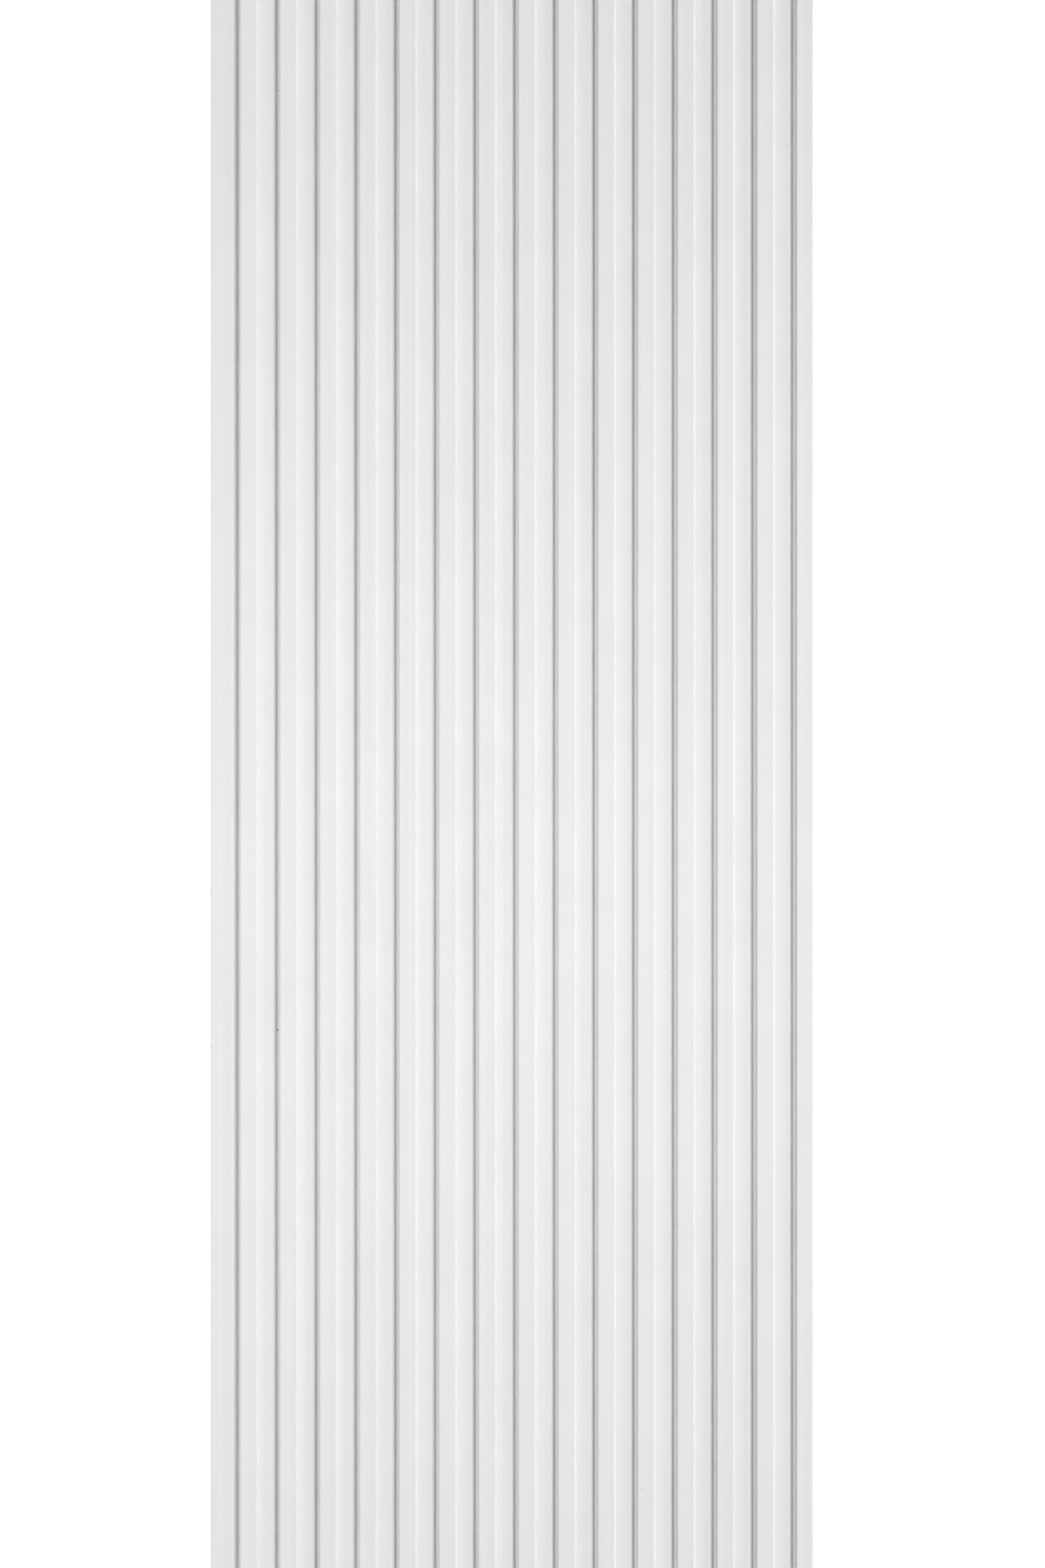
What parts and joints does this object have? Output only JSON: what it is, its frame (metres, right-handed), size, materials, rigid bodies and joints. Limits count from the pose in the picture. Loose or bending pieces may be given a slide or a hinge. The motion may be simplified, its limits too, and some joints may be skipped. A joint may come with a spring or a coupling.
{
  "type": "decorative wall slat panel",
  "caption": "Long white wall panel with upright two-level slats, narrow deep grooves and a lap joint along its edges.",
  "frame": {"origin": "middle of the flat back, half way along the panel", "axes": "+X across the slats from the flange to the lip, +Y along the slats, +Z out of the slatted face"},
  "size_m": [0.2528, 2.6, 0.012],
  "materials": {
    "satin_white": "satin"
  },
  "bodies": {
    "root": {"slat_panel": "satin_white"}
  },
  "joints": []
}
